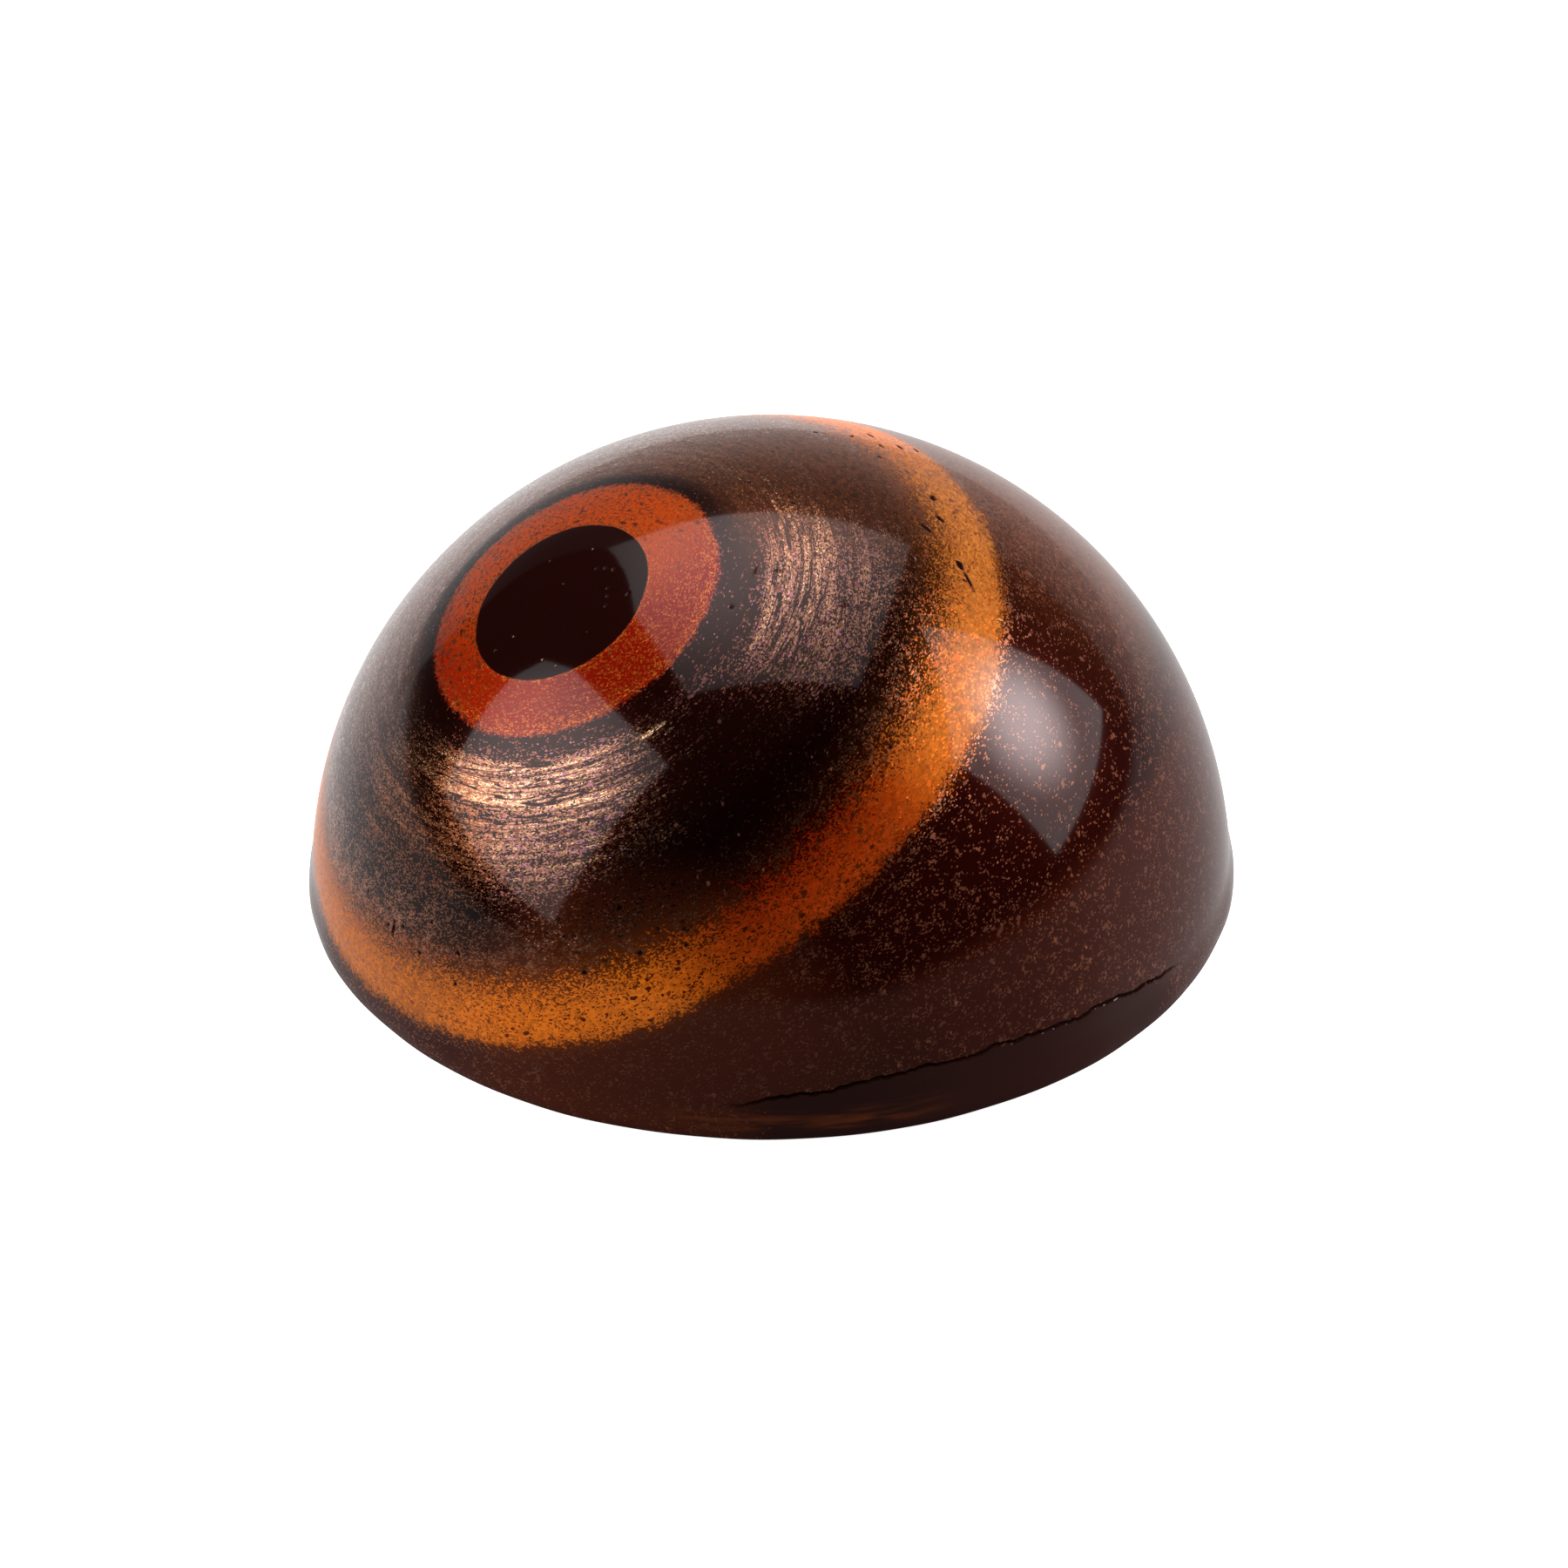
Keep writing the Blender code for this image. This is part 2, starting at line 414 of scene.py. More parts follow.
def sculpt(praline):
    # every point is set on the dome, then moved for the lip, the seam, the marks and the wobble;
    # the attributes say where paint is worn off, where the seam's crack is painted dark as shade, where
    # the chocolate is plain, and where the specks are
    mesh = praline.data
    worn = mesh.attributes.new("worn", "FLOAT", "POINT")
    plain = mesh.attributes.new("plain", "FLOAT", "POINT")
    speck = mesh.attributes.new("speck", "FLOAT", "POINT")
    near = treeOf([mark.centre for mark in paintMarks])
    widest = markEdges["room"] + max(mark.halfLong for mark in paintMarks)
    for point in mesh.vertices:
        place = settle(point.co.copy())
        out = place.normalized() if place.length > 0 else Vector((0, 0, 1))
        azimuth = math.atan2(place.y, place.x)
        radius = math.hypot(place.x, place.y)
        paintLostAndCrackShade, plainShare, bright, inward = 0.0, 0.0, 0.0, 0.0
        onSide = place.z > hair
        if radius > shell["lipFrom"] * domeRadius and place.z < shell["lipHeight"] + shell["lipBlend"]:
            moved = shell["lipUnevenness"] * shareOfLip(place.z) * ripple(azimuth, shell["lipWaves"])
            place.x *= 1 + moved / radius
            place.y *= 1 + moved / radius
        if onSide and place.z < seam["below"]:
            inward, paintLostAndCrackShade, plainShare = seamAt(place, azimuth)
        if place.z > shell["marksAbove"]:
            nearby = [paintMarks[number] for _, number, _ in near.find_range(place, widest)]
            deep, rubbed, bright = marksAt(place, nearby)
            inward += deep + eyeSinkAt(out)
            paintLostAndCrackShade = max(paintLostAndCrackShade, rubbed)
        if onSide:
            inward += shell["wobble"] * noise.noise(out * domeRadius * shell["wobbleScale"])
            place -= out * inward
        elif radius < shell["scrapedTo"] * domeRadius:
            along, across = shell["scraperScales"]
            drag = noise.noise(Vector((place.x * along, place.y * across, 0.5)))
            place.z = shell["scraperLines"] * max(0.0, drag)  # all above the resting plane
        point.co = place
        worn.data[point.index].value = paintLostAndCrackShade
        plain.data[point.index].value = plainShare
        speck.data[point.index].value = bright


paintMarks = allMarks()
pralineShell = makeDome()
refineMarks()
sculpt(pralineShell)
bpy.ops.object.shade_smooth_by_angle(angle=math.radians(shell["creaseAngle"]))
print("praline: body modelled,", len(pralineShell.data.polygons), "faces")


# helpers for building materials out of nodes

def put(tree, kind, sockets=None, **settings):
    made = tree.nodes.new(kind)
    for name, value in settings.items():
        setattr(made, name, value)
    for name, value in (sockets or {}).items():
        feed(tree, made.inputs[name], value)
    return made


def feed(tree, socket, value):
    if isinstance(value, bpy.types.NodeSocket):
        tree.links.new(value, socket)
    else:
        socket.default_value = value


def calc(tree, operation, *values):
    made = put(tree, "ShaderNodeMath", operation=operation)
    for socket, value in zip(made.inputs, values):
        feed(tree, socket, value)
    return made.outputs[0]


def times(tree, *values):
    result = values[0]
    for value in values[1:]:
        result = calc(tree, "MULTIPLY", result, value)
    return result


def vectorCalc(tree, operation, *values):
    made = put(tree, "ShaderNodeVectorMath", operation=operation)
    for socket, value in zip(made.inputs, values):
        feed(tree, socket, value)
    return made.outputs["Value" if operation in ("DOT_PRODUCT", "LENGTH") else "Vector"]


def fade(tree, value, start, end, low=0.0, high=1.0):
    # smooth change from low to high as the value goes from start to end
    sockets = {"Value": value, "From Min": start, "From Max": end, "To Min": low, "To Max": high}
    return put(tree, "ShaderNodeMapRange", sockets, interpolation_type="SMOOTHSTEP").outputs[0]


def blendColour(tree, share, first, second):
    made = put(tree, "ShaderNodeMix", data_type="RGBA", clamp_factor=True)
    feed(tree, made.inputs[0], share)
    feed(tree, made.inputs[6], first)
    feed(tree, made.inputs[7], second)
    return made.outputs[2]


def blendValue(tree, share, first, second):
    made = put(tree, "ShaderNodeMix", data_type="FLOAT", clamp_factor=True)
    feed(tree, made.inputs[0], share)
    feed(tree, made.inputs[2], first)
    feed(tree, made.inputs[3], second)
    return made.outputs[0]


def rampOf(tree, value, stops, top):
    # a colour ramp over values from 0 to top; grey stops may be single numbers
    ramp = put(tree, "ShaderNodeValToRGB", {"Fac": calc(tree, "DIVIDE", value, top)})
    points = ramp.color_ramp.elements
    while len(points) < len(stops):
        points.new(0.5)
    for point, (place, colour) in zip(points, stops):
        point.position = place / top
        point.color = (colour,) * 3 + (1,) if isinstance(colour, (int, float)) else (*colour, 1)
    return ramp.outputs["Color"]


def without(tree, share):
    # what is left of a whole
    return calc(tree, "SUBTRACT", 1.0, share)


def shifted(tree, value, source, amount):
    # moves a value by up to half the amount either way
    return calc(tree, "ADD", value, times(tree, calc(tree, "SUBTRACT", source, 0.5), amount))


def joined(tree, x, y, z):
    return put(tree, "ShaderNodeCombineXYZ", {"X": x, "Y": y, "Z": z}).outputs[0]


def scaled(tree, vector, amount):
    sockets = {"Vector": vector, "Scale": amount}
    return put(tree, "ShaderNodeVectorMath", sockets, operation="SCALE").outputs[0]


def noiseOf(tree, vector, scale, detail=2.0, roughness=0.5):
    sockets = {"Vector": vector, "Scale": scale, "Detail": detail, "Roughness": roughness}
    return put(tree, "ShaderNodeTexNoise", sockets).outputs["Fac"]


def blendVector(tree, share, first, second):
    made = put(tree, "ShaderNodeMix", data_type="VECTOR")
    for number, value in ((0, share), (4, first), (5, second)):
        feed(tree, made.inputs[number], value)
    return made.outputs[1]


def solid(colour):
    return (*colour, 1)


# the paint job, by angle in degrees from the ring axis; colours as (red, green, blue) in linear light
paint = {
    "handWobble": 0.35,
    "handScale": 700.0, "brushScale": 190.0,
    "grainScale": 9000.0, "clumpScale": 2600.0, "patchScale": 800.0,
    "grainReach": 2.2,  # how far the grain moves an edge, in degrees
    "eyeSoftness": 0.10, "redSoftness": 0.40,  # half the width of each ring's edge
    "sideBegins": (0.00006, 0.00024),  # the paint starts between these heights
    "eyeColour": (0.014, 0.0024, 0.0018),
    "redColour": (0.230, 0.0055, 0.0009),
    # painted light: the red ring is painted lighter on its left side, where more light falls
    "redSidePaintedLight": (0.36, 0.0130, 0.0012),
    "redFarPaintedLight": (0.46, 0.0520, 0.0030),  # painted light: the ring is painted lighter and more orange on its far side, where light falls from the back and top
    "farBrown": (0.190, 0.052, 0.018),  # on the far side, between these angles, in patches
    "farFacing": (-0.35, 0.25), "farFrom": (21.0, 25.0), "farTo": (76.0, 90.0), "farPatches": (0.35, 1.25),
    "footTint": (0.30, 0.060, 0.008),
    "chocolate": (0.040, 0.0100, 0.0075),
    # the bare chocolate where paint is worn off, also used as painted shade inside the seam's crack
    "brokenChocolateAndCrackShade": (0.014, 0.0048, 0.0036),
    # a painted highlight: a thin lighter line along the foot's edge, standing in for the light it catches
    # from the pale table
    "paintedFootLight": (0.20, 0.105, 0.055),
    "paintedFootLightFade": (0.00009, 0.00015, 0.8, 0.0), "paintedFootLightRagged": 0.0001,
    "dark": (  # the dark paint under everything, with a dull sheen
        (0, (0.014, 0.0022, 0.0012)),
        (34, (0.016, 0.0022, 0.0010)),
        (40, (0.009, 0.0006, 0.0004)),
        (48, (0.012, 0.0006, 0.0003)),
        (60, (0.028, 0.0026, 0.0015)),
        (100, (0.029, 0.0028, 0.0017)),
    ),
    "lowBrown": (0.070, 0.0120, 0.0060),  # lighter and browner towards the foot, and more so on the right
    "lowFade": (0.305, 0.225), "lowRise": 0.25, "lowFrom": (57.0, 62.0),
    "leftDust": (0.104, 0.019, 0.007),
    "sprayShare": (  # how much of the surface the orange droplets cover
        (0, 0.0), (41, 0.0), (44.5, 0.08), (47.5, 0.36), (50.5, 0.82), (52.5, 0.97),
        (55.3, 1.0), (56.3, 0.60), (57.1, 0.14), (58.5, 0.0), (100, 0.0),
    ),
    "sprayColour": (
        (0, (0.26, 0.011, 0.001)),
        (47, (0.28, 0.016, 0.001)),
        (51, (0.35, 0.029, 0.002)),
        (55.5, (0.40, 0.046, 0.004)),
        (100, (0.40, 0.046, 0.004)),
    ),
    "sprayGold": (1.0, 0.220, 0.014),
    "sprayMica": (0.50, 0.150, 0.026),
    "spraySide": (0.66, 0.165, 0.012),
    "sprayGrain": (0.78, 1.20),  # how much one cell's orange differs from the next
    "sprayClumps": 2.4,
    "dropletShare": 0.70, "dropletLevel": 0.94, "dropletFade": (-0.04, 0.10),
    "tighter": 0.55, "looser": 0.40,  # how far the band's end shifts at its tight and loose spots
    "cover": (  # the share of the surface that flakes cover
        (0, 0.002), (20.2, 0.05), (21.6, 0.12), (22.6, 0.42), (23.6, 0.90), (24.6, 1.0),
        (29, 1.0), (31, 0.88), (34, 0.84), (37, 0.78), (39, 0.50), (41, 0.30), (44, 0.42),
        (47, 0.56), (50, 0.54), (56, 0.50), (57.5, 0.20), (62, 0.13), (66, 0.12), (76, 0.13), (100, 0.10),
    ),
    "dots": (  # the share of cells that hold a larger, softer speck
        (0, 0.0), (21, 0.0), (24, 0.04), (40, 0.04), (50, 0.06),
        (58, 0.06), (66, 0.10), (76, 0.22), (100, 0.26),
    ),
    "streaksBegin": (20.5, 22.5), "streaksEnd": (38.0, 44.0),
    "laterBy": 3.0,
    "thinStreaks": 0.55, "rightStreaks": 0.55, "warmTop": 0.8, "gapCut": 0.45,
    "clumpFade": (0.36, 0.60, 0.45, 1.20),  # from one noise level to the next, and the shares they give
    "patchFade": (0.35, 0.60, 0.75, 1.10),
    "flankClumpFade": (0.40, 0.62, 0.25, 1.70), "flankFrom": (57.0, 60.0),
    "fewerBy": 0.5, "fewerFrom": (56.5, 58.5),
    "onSpray": (0.38, 0.45),  # the share of the flakes that shows on the orange, and where it is shiny
    "redCover": 0.32,
    "outerGold": (17.4, 19.8, 0.0, 0.25), "innerGold": (12.1, 12.6, 0.25, 0.0),
    "speckFade": (0.25, 0.55), "speckCover": 0.94, "speckTone": 0.80,
    "coarseShare": (60.0, 85.0, 0.08, 0.26),
    "bronzeTints": (
        (0, (0.10, 0.027, 0.020)), (0.5, (0.27, 0.122, 0.062)),
        (0.82, (0.56, 0.33, 0.170)), (1, (1.0, 0.76, 0.44)),
    ),
    "violetTint": (0.22, 0.080, 0.125), "violetFade": (0.14, 0.18, 0.7, 0.0),
    "orangeTints": ((0, (0.37, 0.060, 0.005)), (0.7, (0.65, 0.165, 0.016)), (1, (0.95, 0.52, 0.17))),
    "warmTints": ((0, (0.12, 0.028, 0.010)), (0.6, (0.42, 0.145, 0.060)), (1, (0.95, 0.52, 0.26))),
    "redTints": (
        (0, (0.16, 0.014, 0.002)), (0.6, (0.44, 0.108, 0.014)),
        (0.9, (0.80, 0.36, 0.07)), (1, (1.0, 0.74, 0.30)),
    ),
    "dustTints": ((0, (0.16, 0.060, 0.036)), (0.6, (0.42, 0.176, 0.102)), (1, (1.0, 0.66, 0.38))),
    "flankTintsFrom": (56.0, 59.0),
    "flankTints": (
        (0, (0.16, 0.050, 0.026)), (0.55, (0.42, 0.145, 0.078)),
        (0.9, (0.62, 0.28, 0.14)), (1, (1.0, 0.64, 0.36)),
    ),
    "fineCells": 23000.0,  # cells to a metre
    "coarseCells": 9000.0,
    "dotCells": 5000.0,
    "drawnOut": 1.5,  # how much longer than wide the flakes lie
    "dotUpright": 0.6,
    "dotSize": (0.12, 0.36),
    "dotEdge": 0.16, "dotFade": (-0.10, 0.04, 1.0, 0.0), "dotBody": 0.3,
    "columnScale": 1500.0, "columnHeight": 330.0, "columnFade": (0.38, 0.60, 0.45, 1.35),
}

# the brush's traces in the streaks: how fine along and across the ring, how rough, and how they fade
brushTraces = {
    "broad": {"along": 2.6, "across": 0.75, "roughness": 0.5, "fades": (0.36, 0.58, 0.60, 1.0)},
    "hairs": {"along": 2.8, "across": 2.6, "roughness": 0.6, "fades": (0.34, 0.50, 0.40, 1.0)},
    "softHairs": {"along": 2.4, "across": 1.8, "roughness": 0.5, "fades": (0.35, 0.65, 0.60, 1.10)},
    "hairsUntil": (28.0, 36.0, 1.0, 0.15),
    "arcs": ((3.0, 0.50, 0.022), (3.6, 0.95, 0.016)),  # along, across and how wide
    "arcFade": (0.25, 0.06), "arcRoughness": 0.55,
}

# faint smears of orange on the plain chocolate: how fine they are, and where they lie, in metres
footSmears = {
    "across": 420.0, "upward": 4200.0, "fades": (0.38, 0.66, 0.0, 0.5),
    "aside": (0.0030, 0.0062), "back": (-0.012, -0.009),
    "from": (0.00024, 0.00050), "to": (0.00080, 0.00125),
}

# how the paint shines: metal and roughness, some by the angle between which they change
sheen = {
    "baseMetal": (54.0, 60.0, 0.55, 0.32),
    "sprayMetal": (0.02, 0.12),
    "ringMetal": 0.05,
    "flakeMetal": (55.0, 61.0, 1.0, 0.5),
    "dotMetal": 0.25,
    "baseRough": (0.24, 0.50),  # the dark paint and the orange
    "flakeRough": (0.70, 0.90, 0.17, 0.34),
    "dustRough": 0.38, "dustFrom": (42.0, 50.0),
    "tilt": 0.07, "dustTilt": 0.16,  # how far the flakes lean
    "coat": 0.5, "coatOnEye": 0.34, "coatOffWorn": (0.10, 0.55, 1.0, 0.0),
    "coatRoughness": 0.065,
    "coatIor": 1.46,
}

# places where the paint changes: (angle, turn round the axis, how far it reaches, how far it is whole),
# all in degrees
paintSpots = {
    # where the red ring is painted lighter, as painted light: its left side and its far top
    "redSidePaintedLight": (15.5, -172, 15, 5),
    "redFarPaintedLight": (15.5, 62, 26, 13),
    "bandTight": (55, -88, 26, 8),  # the orange band ends a little earlier here
    "bandLoose": (55, -134, 22, 8),  # and a little later here
    "bandRed": (54, -88, 27, 8),  # here the orange is thin and reddest
    "bandShiny": (54, -25, 36, 20),  # where it has the most mica
    "bandSide": (54, 178, 32, 10),  # and where it is lighter, on the left
    "streaksDense": (27, -136, 26, 15),  # the bronze streaks lie thickest here
    "streaksRight": (31, -32, 21, 12),  # and nearly as thick here
    "streaksLater": (31, -32, 21, 13),  # where they start and end a little further out
    "streaksThin": (28, -86, 15, 5),  # the gap between the dense parts
    "streaksWarm": (35, -170, 17, 6),  # the streaks turn to a warm brown here
    "streaksWarmTop": (30, 16, 26, 8),  # and here
    "flecksFewer": (64, -50, 24, 9),  # the flecks lie thin here
    "leftDust": (64, -124, 30, 14),
}


class Cells:
    # a layer of small cells, each with its own draws and its own lean
    def __init__(self, tree, vector, cellsToMetre):
        sockets = {"Vector": vector, "Scale": cellsToMetre * domeRadius}
        cell = put(tree, "ShaderNodeTexVoronoi", sockets, feature="F1")
        draws = put(tree, "ShaderNodeTexWhiteNoise", {"Vector": cell.outputs["Position"]})
        parts = put(tree, "ShaderNodeSeparateColor", {"Color": draws.outputs["Color"]})
        self.draw = draws.outputs["Value"]
        self.tone = parts.outputs["Red"]
        self.hue = parts.outputs["Green"]
        self.lean = vectorCalc(tree, "SUBTRACT", cell.outputs["Color"], draws.outputs["Color"])
        self.middle = cell.outputs["Distance"]


class ShellPaint:
    # the paint job as nodes; each step keeps on self what the later steps need
    def __init__(self, tree):
        self.tree = tree
        self.shader = tree.nodes["Principled BSDF"]
        self.place = put(tree, "ShaderNodeTexCoord").outputs["Object"]
        self.unit = vectorCalc(tree, "NORMALIZE", self.place)
        self.north, self.east = self.facing(ringNorth), self.facing(ringEast)
        apart = put(tree, "ShaderNodeSeparateXYZ", {"Vector": self.place})
        self.aside, self.back, self.height = (apart.outputs[name] for name in "XYZ")
        self.worn, self.plain, self.speck = (
            put(tree, "ShaderNodeAttribute", attribute_name=name).outputs["Fac"]
            for name in ("worn", "plain", "speck")
        )
        self.grain = noiseOf(tree, self.place, paint["grainScale"], 2.0, 0.6)
        self.clumps = noiseOf(tree, self.place, paint["clumpScale"], 3.0, 0.6)
        self.patches = noiseOf(tree, self.place, paint["patchScale"], 2.0, 0.5)

    def facing(self, direction):
        return vectorCalc(self.tree, "DOT_PRODUCT", self.unit, tuple(direction))

    def angleFrom(self, axis):
        return calc(self.tree, "DEGREES", calc(self.tree, "ARCCOSINE", self.facing(axis)))

    def near(self, name):
        # 1 in the middle of a named spot, 0 beyond its reach
        angle, turn, reach, whole = paintSpots[name]
        ends = math.cos(math.radians(reach)), math.cos(math.radians(whole))
        return fade(self.tree, self.facing(onRing(angle, turn)), *ends)

    def setAngles(self):
        # the angles from each ring's axis, with the small wobble of a hand-turned brush
        tree, wobble, reach = self.tree, paint["handWobble"], paint["grainReach"]
        handNoise = noiseOf(tree, self.place, paint["handScale"], 3.0)
        slowNoise = noiseOf(tree, self.place, paint["brushScale"], 1.0)
        self.brushAngle = shifted(tree, self.angleFrom(ringAxis), slowNoise, 1.0)
        self.angle = shifted(tree, self.angleFrom(ringAxis), handNoise, wobble * 2)
        self.eyeAngle = shifted(tree, self.angleFrom(eyeAxis), handNoise, wobble)
        redAngle = shifted(tree, self.angleFrom(redAxis), handNoise, wobble * 2)
        self.redEdge = shifted(tree, redAngle, self.grain, reach)
        band = shifted(tree, self.angleFrom(bandAxis), handNoise, wobble * 2)
        band = calc(tree, "ADD", band, times(tree, self.near("bandTight"), paint["tighter"]))
        self.bandAngle = calc(tree, "SUBTRACT", band, times(tree, self.near("bandLoose"), paint["looser"]))
        later = times(tree, self.near("streaksLater"), paint["laterBy"])
        self.grainyAngle = shifted(tree, calc(tree, "SUBTRACT", self.angle, later), self.grain, reach)

    def setMasks(self):
        tree, size, soft = self.tree, ringPlace["eyeSize"], paint["eyeSoftness"]
        self.inEye = fade(tree, self.eyeAngle, size - soft, size + soft, 1.0, 0.0)
        self.pastEye = without(tree, self.inEye)
        size, soft = ringPlace["redSize"], paint["redSoftness"]
        inside = fade(tree, self.redEdge, size - soft, size + soft, 1.0, 0.0)
        self.inRed = times(tree, self.pastEye, inside)
        self.pastStreaks = fade(tree, self.angle, *paint["streaksEnd"])
        began = fade(tree, self.angle, *paint["streaksBegin"])
        self.inStreaks = times(tree, began, without(tree, self.pastStreaks))
        onSide = fade(tree, self.height, *paint["sideBegins"])
        self.painted = times(tree, without(tree, self.worn), without(tree, self.plain), onSide)

    def drawn(self, along, across):
        # a place for noise that is drawn out round the axis
        tree = self.tree
        around = times(tree, self.north, along), times(tree, self.east, along)
        return joined(tree, *around, times(tree, self.brushAngle, across))

    def darkArcs(self, along, across, width):
        # thin dark lines where a drawn-out noise crosses its middle
        tree = self.tree
        level = noiseOf(tree, self.drawn(along, across), 1.0, 2.0, brushTraces["arcRoughness"])
        gap = calc(tree, "ABSOLUTE", calc(tree, "SUBTRACT", level, 0.5))
        core, darkest = brushTraces["arcFade"]
        return fade(tree, gap, width * core, width, darkest, 1.0)

    def trace(self, along, across, roughness, fades):
        return fade(self.tree, noiseOf(self.tree, self.drawn(along, across), 1.0, 2.0, roughness), *fades)

    def brushStreaks(self):
        tree = self.tree
        arcs = times(tree, *(self.darkArcs(*arc) for arc in brushTraces["arcs"]))
        hairs = times(tree, self.trace(**brushTraces["hairs"]), arcs)
        hairy = fade(tree, self.grainyAngle, *brushTraces["hairsUntil"])
        fineTraces = blendValue(tree, hairy, self.trace(**brushTraces["softHairs"]), hairs)
        return times(tree, self.trace(**brushTraces["broad"]), fineTraces)

    def setCells(self):
        # the flakes lie drawn out round the axis, and the larger specks upright
        tree, across = self.tree, 1 / paint["drawnOut"]
        around = times(tree, self.north, across), times(tree, self.east, across)
        flakePlace = joined(tree, *around, times(tree, self.angle, math.radians(1)))
        dotPlace = vectorCalc(tree, "MULTIPLY", self.unit, (1, 1, paint["dotUpright"]))
        self.fine = Cells(tree, flakePlace, paint["fineCells"])
        self.coarse = Cells(tree, flakePlace, paint["coarseCells"])
        self.dot = Cells(tree, dotPlace, paint["dotCells"])

    def sprayOrange(self):
        # partly a soft spray and mostly droplets
        tree = self.tree
        clumpyAngle = shifted(tree, self.bandAngle, self.clumps, paint["sprayClumps"])
        share = rampOf(tree, clumpyAngle, paint["sprayShare"], 100)
        above = calc(tree, "SUBTRACT", share, times(tree, self.fine.draw, paint["dropletLevel"]))
        droplets = fade(tree, above, *paint["dropletFade"])
        spray = blendValue(tree, paint["dropletShare"], share, droplets)
        self.sprayed = times(tree, spray, self.pastEye, self.painted)
        self.shiny = self.near("bandShiny")

    def streakShare(self):
        # how thick the brushed streaks lie round the ring
        tree = self.tree
        warmTop = times(tree, self.near("streaksWarmTop"), paint["warmTop"])
        self.warm = calc(tree, "MAXIMUM", self.near("streaksWarm"), warmTop)
        onRight = times(tree, self.near("streaksRight"), paint["rightStreaks"])
        dense = calc(tree, "MAXIMUM", self.near("streaksDense"), onRight)
        dense = calc(tree, "MAXIMUM", dense, times(tree, self.warm, paint["warmTop"]))
        dense = blendValue(tree, dense, paint["thinStreaks"], 1.0)
        thin = without(tree, times(tree, self.near("streaksThin"), paint["gapCut"]))
        return times(tree, self.brushStreaks(), times(tree, dense, thin))

    def placeFlakes(self):
        # where the small flakes are, by each cell's own draw
        tree = self.tree
        clumped = fade(tree, self.clumps, *paint["clumpFade"])
        clumped = times(tree, clumped, fade(tree, self.patches, *paint["patchFade"]))
        patchy = fade(tree, self.clumps, *paint["flankClumpFade"])
        self.clumped = blendValue(tree, fade(tree, self.angle, *paint["flankFrom"]), clumped, patchy)
        onFlank = fade(tree, self.angle, *paint["fewerFrom"])
        self.fewer = without(tree, times(tree, self.near("flecksFewer"), onFlank, paint["fewerBy"]))
        uneven = blendValue(tree, self.inStreaks, self.clumped, self.streakShare())
        cover = rampOf(tree, self.grainyAngle, paint["cover"], 100)
        outside = times(tree, cover, self.fewer, self.pastEye, uneven)
        onSpray = blendValue(tree, self.shiny, *paint["onSpray"])
        outside = times(tree, outside, blendValue(tree, self.sprayed, 1.0, onSpray))
        outerGold = fade(tree, self.redEdge, *paint["outerGold"])
        innerGold = fade(tree, self.eyeAngle, *paint["innerGold"])
        onRed = calc(tree, "ADD", paint["redCover"], calc(tree, "ADD", outerGold, innerGold))
        amount = blendValue(tree, self.inRed, outside, onRed)
        self.speckHere = fade(tree, self.speck, *paint["speckFade"])
        amount = calc(tree, "MAXIMUM", amount, times(tree, self.speckHere, paint["speckCover"]))
        amount = times(tree, amount, self.painted)
        coarseShare = fade(tree, self.angle, *paint["coarseShare"])
        self.fineHere = calc(tree, "LESS_THAN", self.fine.draw, amount)
        self.coarseHere = calc(tree, "LESS_THAN", self.coarse.draw, times(tree, amount, coarseShare))

    def placeDots(self):
        # larger soft specks, in columns low on the flank
        tree = self.tree
        scale, upward = paint["columnScale"], times(tree, self.height, paint["columnHeight"])
        level = times(tree, self.aside, scale), times(tree, self.back, scale)
        columns = noiseOf(tree, joined(tree, *level, upward), 1.0)
        amount = rampOf(tree, self.grainyAngle, paint["dots"], 100)
        amount = times(tree, amount, fade(tree, columns, *paint["columnFade"]))
        amount = times(tree, amount, self.clumped, self.painted, self.fewer)
        size = blendValue(tree, self.dot.hue, *paint["dotSize"])
        gap = shifted(tree, calc(tree, "SUBTRACT", self.dot.middle, size), self.grain, paint["dotEdge"])
        shape = fade(tree, gap, *paint["dotFade"])
        drawnHere = calc(tree, "LESS_THAN", self.dot.draw, amount)
        self.dotHere = times(tree, drawnHere, shape, without(tree, self.inRed), self.pastEye)

    def joinFlakes(self):
        tree, fine, coarse, dot = self.tree, self.fine, self.coarse, self.dot
        self.flake = calc(tree, "MAXIMUM", self.fineHere, self.coarseHere)
        self.flake = calc(tree, "MAXIMUM", self.flake, self.dotHere)
        self.inDot = calc(tree, "GREATER_THAN", self.dotHere, paint["dotBody"])
        tone = blendValue(tree, self.coarseHere, fine.tone, coarse.tone)
        tone = blendValue(tree, self.inDot, tone, dot.tone)
        self.tone = calc(tree, "MAXIMUM", tone, times(tree, self.speckHere, paint["speckTone"]))
        self.hue = blendValue(tree, self.coarseHere, fine.hue, coarse.hue)
        lean = blendVector(tree, self.coarseHere, fine.lean, coarse.lean)
        self.lean = blendVector(tree, self.inDot, lean, dot.lean)

